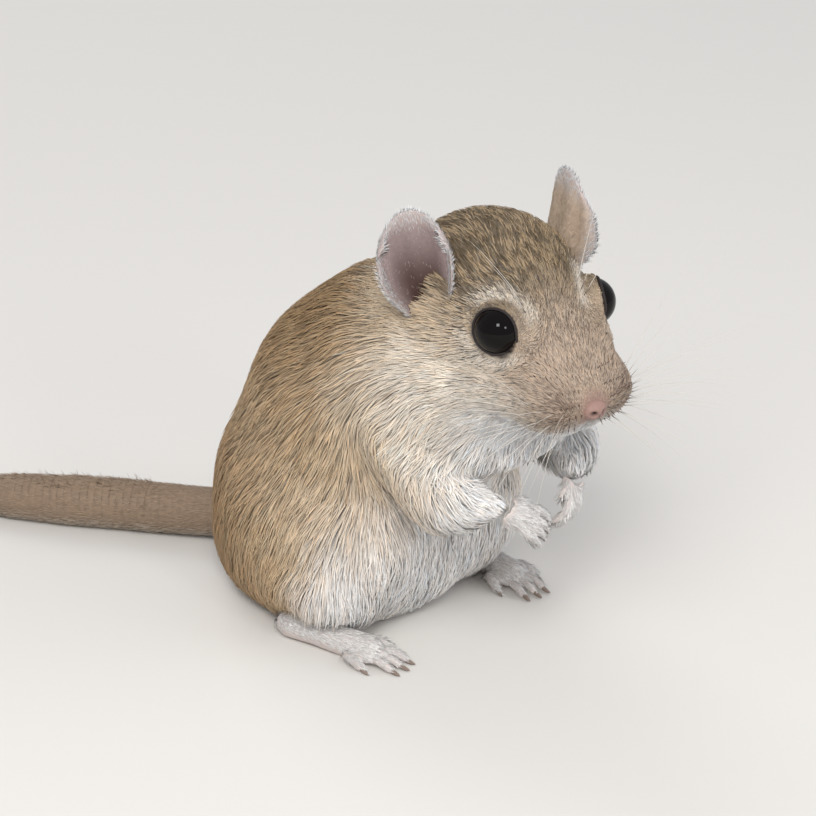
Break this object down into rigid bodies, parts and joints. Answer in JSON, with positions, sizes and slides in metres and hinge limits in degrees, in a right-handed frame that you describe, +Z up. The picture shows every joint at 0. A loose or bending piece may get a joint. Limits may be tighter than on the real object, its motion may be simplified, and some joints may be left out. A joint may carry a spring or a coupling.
{
  "type": "fat-tailed gerbil",
  "caption": "Still, life-size model of a fat-tailed gerbil that sits up on its hind feet with its forepaws held together before its chest.",
  "frame": {"origin": "on the floor, under the middle of the whole outline seen from above", "axes": "+Z up; the animal's body faces -Y with its tail towards +Y; its left side is towards +X"},
  "size_m": [0.045, 0.1076, 0.0644],
  "materials": {
    "coat_back": "dense short fur, tan with dark hair tips",
    "coat_face": "very short fur, sandy",
    "coat_pale": "soft white and cream fur",
    "ear_skin": "thin bare skin with fine hairs",
    "foot_skin": "pale skin under short white hair",
    "tail_skin": "thick skin with faint rings and sparse hair",
    "claw": "dark horn",
    "whisker": "pale stiff hair",
    "eye": "wet gloss black"
  },
  "bodies": {
    "root": {"head": "coat_face", "eye_right": "eye", "eye_left": "eye", "ear_right": "ear_skin", "ear_left": "ear_skin", "neck": "coat_pale", "torso": "coat_back", "haunch_right": "coat_back", "haunch_left": "coat_back", "shank_right": "coat_pale", "shank_left": "coat_pale", "foot_right": "foot_skin", "foot_left": "foot_skin", "upper_arm_right": "coat_back", "upper_arm_left": "coat_back", "forearm_right": "coat_pale", "forearm_left": "coat_pale", "paw_right": "foot_skin", "paw_left": "foot_skin", "tail": "tail_skin"}
  },
  "joints": []
}
